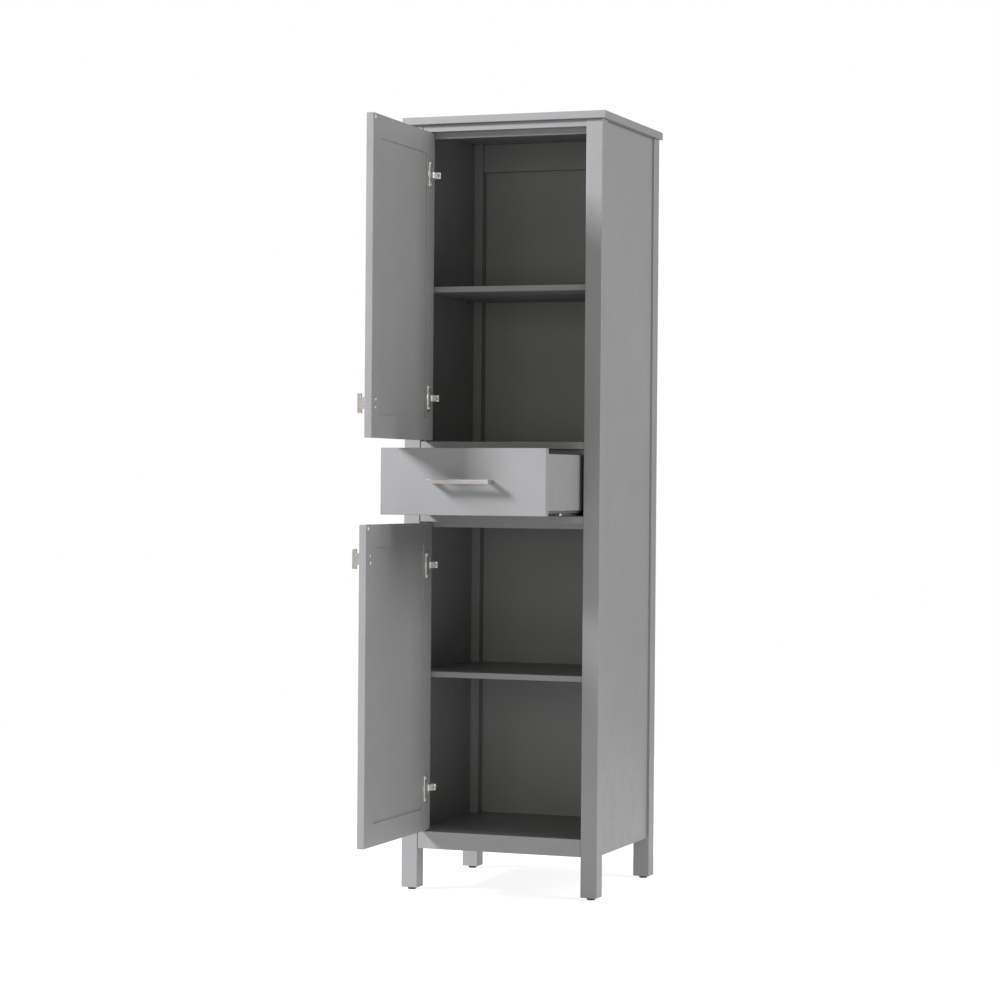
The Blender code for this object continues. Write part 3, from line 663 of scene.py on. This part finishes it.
def hinge_link(node, door):
    """A bent strip from a forked knuckle on the arm's pin to a hook inside the cup."""
    low, high = shut_box(node)
    z = (low.z + high.z) / 2
    x, y, _ = link_pin_of(door)
    start, turn = Vector((x, y)), math.radians(LINK_SHUT_DEG)
    along = Vector((math.cos(turn), math.sin(turn)))
    hooked = Vector((math.cos(turn + math.radians(HOOK_DEG)),
                     math.sin(turn + math.radians(HOOK_DEG))))
    bend = 0.0022
    back = bend * math.tan(math.radians(-HOOK_DEG / 2))
    knee = start + along * LINK_LONG
    hub = knee - along * back + Vector((along.y, -along.x)) * bend
    first = LINK_SHUT_DEG + 90
    path = [start + along * 0.001, *[Vector(spot) for spot in
                                     arc(hub, bend, first, first + HOOK_DEG, 8)],
            knee + hooked * HOOK_LONG]
    bar = extruded(strip(path, LINK_THICK), "xy", (z - LINK_HALF_HIGH, z + LINK_HALF_HIGH))
    ease_edges(bar, sharp_edges(bar, 60.0), 0.0004, 2)
    barrel = pin((x, y, z - LINK_HALF_HIGH), "+z", 2 * LINK_HALF_HIGH, KNUCKLE, 0.0004, 40)
    fork = eased_board(Vector((-0.0045, -0.0045, z - FORK_HALF)),
                       Vector((FORK_LONG, 0.0045, z + FORK_HALF)), 0.0003)
    bmesh.ops.transform(fork, matrix=Matrix.Translation((x, y, 0)) @ Matrix.Rotation(turn, 4, "Z"),
                        verts=fork.verts)
    hole = pin((x, y, z - 0.010), "+z", 0.020, PIN_HOLE)
    work = combined(bar, ("UNION", barrel), ("DIFFERENCE", fork), ("DIFFERENCE", hole))
    piece("pressed_" + node, work, BODY_OF[node], LINK_NICKEL, [node])


def build_hinges():
    """Two concealed hinges on each door: a cup, an arm and a link."""
    for door in DOORS:
        for place_name in HINGES:
            stem = f"{door}_{place_name}_hinge_"
            hinge_cup(stem + "cup")
            hinge_arm(stem + "arm", door)
            hinge_link(stem + "link", door)


# ---- pulls ------------------------------------------------------------------------------
def build_door_pulls():
    """T-shaped pulls: a square upright bar on a post that narrows a little to the door."""
    for door in DOORS:
        node = door + "_pull"
        low, high = shut_box(node)
        z, half = (low.z + high.z) / 2, (high.z - low.z) / 2
        post_half, foot_half, sweep = 0.0125, 0.0118, 6
        bar_back = low.y + T_PULL_BAR
        flare = []
        for k in range(sweep + 1):
            share = k / sweep
            flare.append((high.y + (bar_back - high.y) * share,
                          foot_half + (post_half - foot_half) * (1 - (1 - share) ** 2)))
        upper = [(y, z + up) for y, up in flare]
        outline = (upper + [(bar_back, z + half), (low.y, z + half), (low.y, z - half),
                            (bar_back, z - half)] + [(y, 2 * z - up) for y, up in reversed(upper)])
        work = extruded(outline, "yz", (low.x, high.x))
        ease_edges(work, sharp_edges(work, 60.0), 0.0009)
        piece("brushed_" + node, work, door, NICKEL_Z, [node])
        stile = shut_box(door + "_free_stile")[1]
        for label, offset in (("lower", -T_SCREWS / 2), ("upper", T_SCREWS / 2)):
            add_screw(f"{node}_{label}_screw", (stile.x - T_PULL_FROM_EDGE, stile.y + 0.0001,
                                                z + offset), "+y", 0.0040, 0.0022, door,
                      turn_deg=35.0 if label == "upper" else 8.0)


def build_drawer_pull():
    """A square bar bent twice, with small outer bend radii."""
    node = "drawer_pull"
    low, high = shut_box(node)
    bend = 0.0018
    outer = (arc((high.x - bend, low.y + bend), bend, 0, -90, 4)
             + arc((low.x + bend, low.y + bend), bend, 270, 180, 4))
    inner = [(low.x, high.y), (low.x + PULL_BAR, high.y), (low.x + PULL_BAR, low.y + PULL_BAR),
             (high.x - PULL_BAR, low.y + PULL_BAR), (high.x - PULL_BAR, high.y), (high.x, high.y)]
    work = extruded(outer + inner, "xy", (low.z, high.z))
    ease_edges(work, sharp_edges(work, 60.0), 0.0009)
    piece("brushed_" + node, work, "drawer", NICKEL_X, [node])
    inner_face = shut_box("drawer_front")[1].y + 0.0001
    for label, x in (("left", low.x + PULL_BAR / 2), ("right", high.x - PULL_BAR / 2)):
        add_screw(f"{node}_{label}_screw", (x, inner_face, (low.z + high.z) / 2), "+y", 0.0040,
                  0.0022, "drawer")


# ---- slides -----------------------------------------------------------------------------
def build_slides():
    """Rolled slide members, screws through the rails, and a nylon buffer before each middle."""
    for side_name, side in (("left", -1), ("right", 1)):
        for part in ("rail", "middle", "runner"):
            node = f"slide_{part}_{side_name}"
            piece("rolled_" + node, from_node(node, 0.00025), BODY_OF[node], ZINC_PAINTED_SHADE,
                  [node], at_rest=True)
        rail_low, rail_high = shut_box("slide_rail_" + side_name)
        wall = (rail_high.x if side > 0 else rail_low.x) - side * (SHEET + 0.0001)
        for place_name, y in (("front", 0.009), ("rear", 0.351)):
            add_screw(f"slide_rail_{side_name}_{place_name}_screw",
                      (wall, y, rail_high.z - 0.006), "-x" if side > 0 else "+x", 0.0036, 0.0015,
                      "carcass", ZINC_PAINTED_SHADE)
        low, high = shut_box("slide_middle_" + side_name)
        front = low.y - GAP
        outer, inner = (high.x - 0.0002, low.x) if side > 0 else (low.x + 0.0002, high.x)
        span = sorted((outer, outer + (inner - outer) * BUFFER_SHARE))
        buffer_low = Vector((span[0], front - 0.0042, low.z + 0.0004))
        buffer_high = Vector((span[1], front, high.z + 0.0008))
        piece("slide_buffer_" + side_name, eased_board(buffer_low, buffer_high, 0.0009, ("+y",)),
              "slide_middles", WHITE)


# ---- room, lights, camera ---------------------------------------------------------------
def build_floor():
    """A broad pale sheet under the feet, bright enough to read as white."""
    low, high = CAD_BOX
    reach = 3.0
    work = bmesh.new()
    bmesh.ops.create_grid(work, x_segments=2, y_segments=2, size=reach)
    bmesh.ops.translate(work, vec=(0, 0, low.z - 0.0002), verts=work.verts)
    mesh = bpy.data.meshes.new("floor")
    work.to_mesh(mesh)
    work.free()
    floor = bpy.data.objects.new("floor", mesh)
    bpy.context.scene.collection.objects.link(floor)
    make = Finish("pale_floor")
    make.set(emission_color=(1, 1, 1, 1), emission_strength=0.84)
    tint = make.ramp(make.noise(1.5, 2.0), [(0.3, (0.27,) * 3), (0.7, (0.29,) * 3)])
    mesh.materials.append(make.wire(tint, make.spread(make.noise(8.0), 0.6, 0.7)))


def add_light(name, at, target, size, power, colour):
    data = bpy.data.lights.new(name, "AREA")
    data.shape = "RECTANGLE"
    data.size, data.size_y = size
    data.energy = power
    data.color = colour
    lamp = bpy.data.objects.new(name, data)
    bpy.context.scene.collection.objects.link(lamp)
    lamp.location = at
    lamp.rotation_euler = (Vector(target) - Vector(at)).to_track_quat("-Z", "Y").to_euler()


def build_lights():
    middle = (CAD_BOX[0] + CAD_BOX[1]) / 2
    add_light("key", (-3.73, -2.61, 3.50), middle, (1.10, 1.10), 632.0, (0.95, 0.94, 1.0))
    add_light("side_fill", (3.1, -0.1, 2.1), middle, (1.6, 1.6), 84.0, (1.0, 1.0, 1.0))
    add_light("front_fill", (0.5, -5.6, 1.2), middle, (2.4, 2.4), 56.0, (1.0, 1.0, 0.95))
    world = bpy.data.worlds.new("studio")
    world.use_nodes = True
    nodes, links = world.node_tree.nodes, world.node_tree.links
    lighting, backdrop = nodes["Background"], nodes.new("ShaderNodeBackground")
    for background, strength in ((lighting, 0.28), (backdrop, 1.0)):
        background.inputs["Color"].default_value = (1.0, 1.0, 1.0, 1.0)
        background.inputs["Strength"].default_value = strength
    choice, rays = nodes.new("ShaderNodeMixShader"), nodes.new("ShaderNodeLightPath")
    links.new(rays.outputs["Is Camera Ray"], choice.inputs[0])
    links.new(lighting.outputs[0], choice.inputs[1])
    links.new(backdrop.outputs[0], choice.inputs[2])
    links.new(choice.outputs[0], nodes["World Output"].inputs["Surface"])
    bpy.context.scene.world = world


def build_camera():
    """From the front right, a little above half height, with a long lens."""
    data = bpy.data.cameras.new("camera")
    data.lens = 101.4
    data.sensor_width = 36.0
    data.clip_end = 60.0
    camera = bpy.data.objects.new("camera", data)
    bpy.context.scene.collection.objects.link(camera)
    yaw, pitch, roll = -0.3564, -0.0067, 0.0080
    ahead = Vector((math.sin(yaw) * math.cos(pitch), math.cos(yaw) * math.cos(pitch),
                    math.sin(pitch)))
    level = Vector((math.cos(yaw), -math.sin(yaw), 0))
    upward = level.cross(ahead)
    across = level * math.cos(roll) + upward * math.sin(roll)
    up = upward * math.cos(roll) - level * math.sin(roll)
    camera.matrix_world = Matrix((
        (across.x, up.x, -ahead.x, 2.0762), (across.y, up.y, -ahead.y, -5.5988),
        (across.z, up.z, -ahead.z, 0.8763), (0, 0, 0, 1)))
    bpy.context.scene.camera = camera
    bpy.context.scene.view_settings.view_transform = "Standard"


build_camera()
build_boards()
build_notched_boards()
build_glides()
build_hinges()
build_door_pulls()
build_drawer_pull()
build_slides()
build_shelf_pins()
build_bumpers()
build_floor()
build_lights()
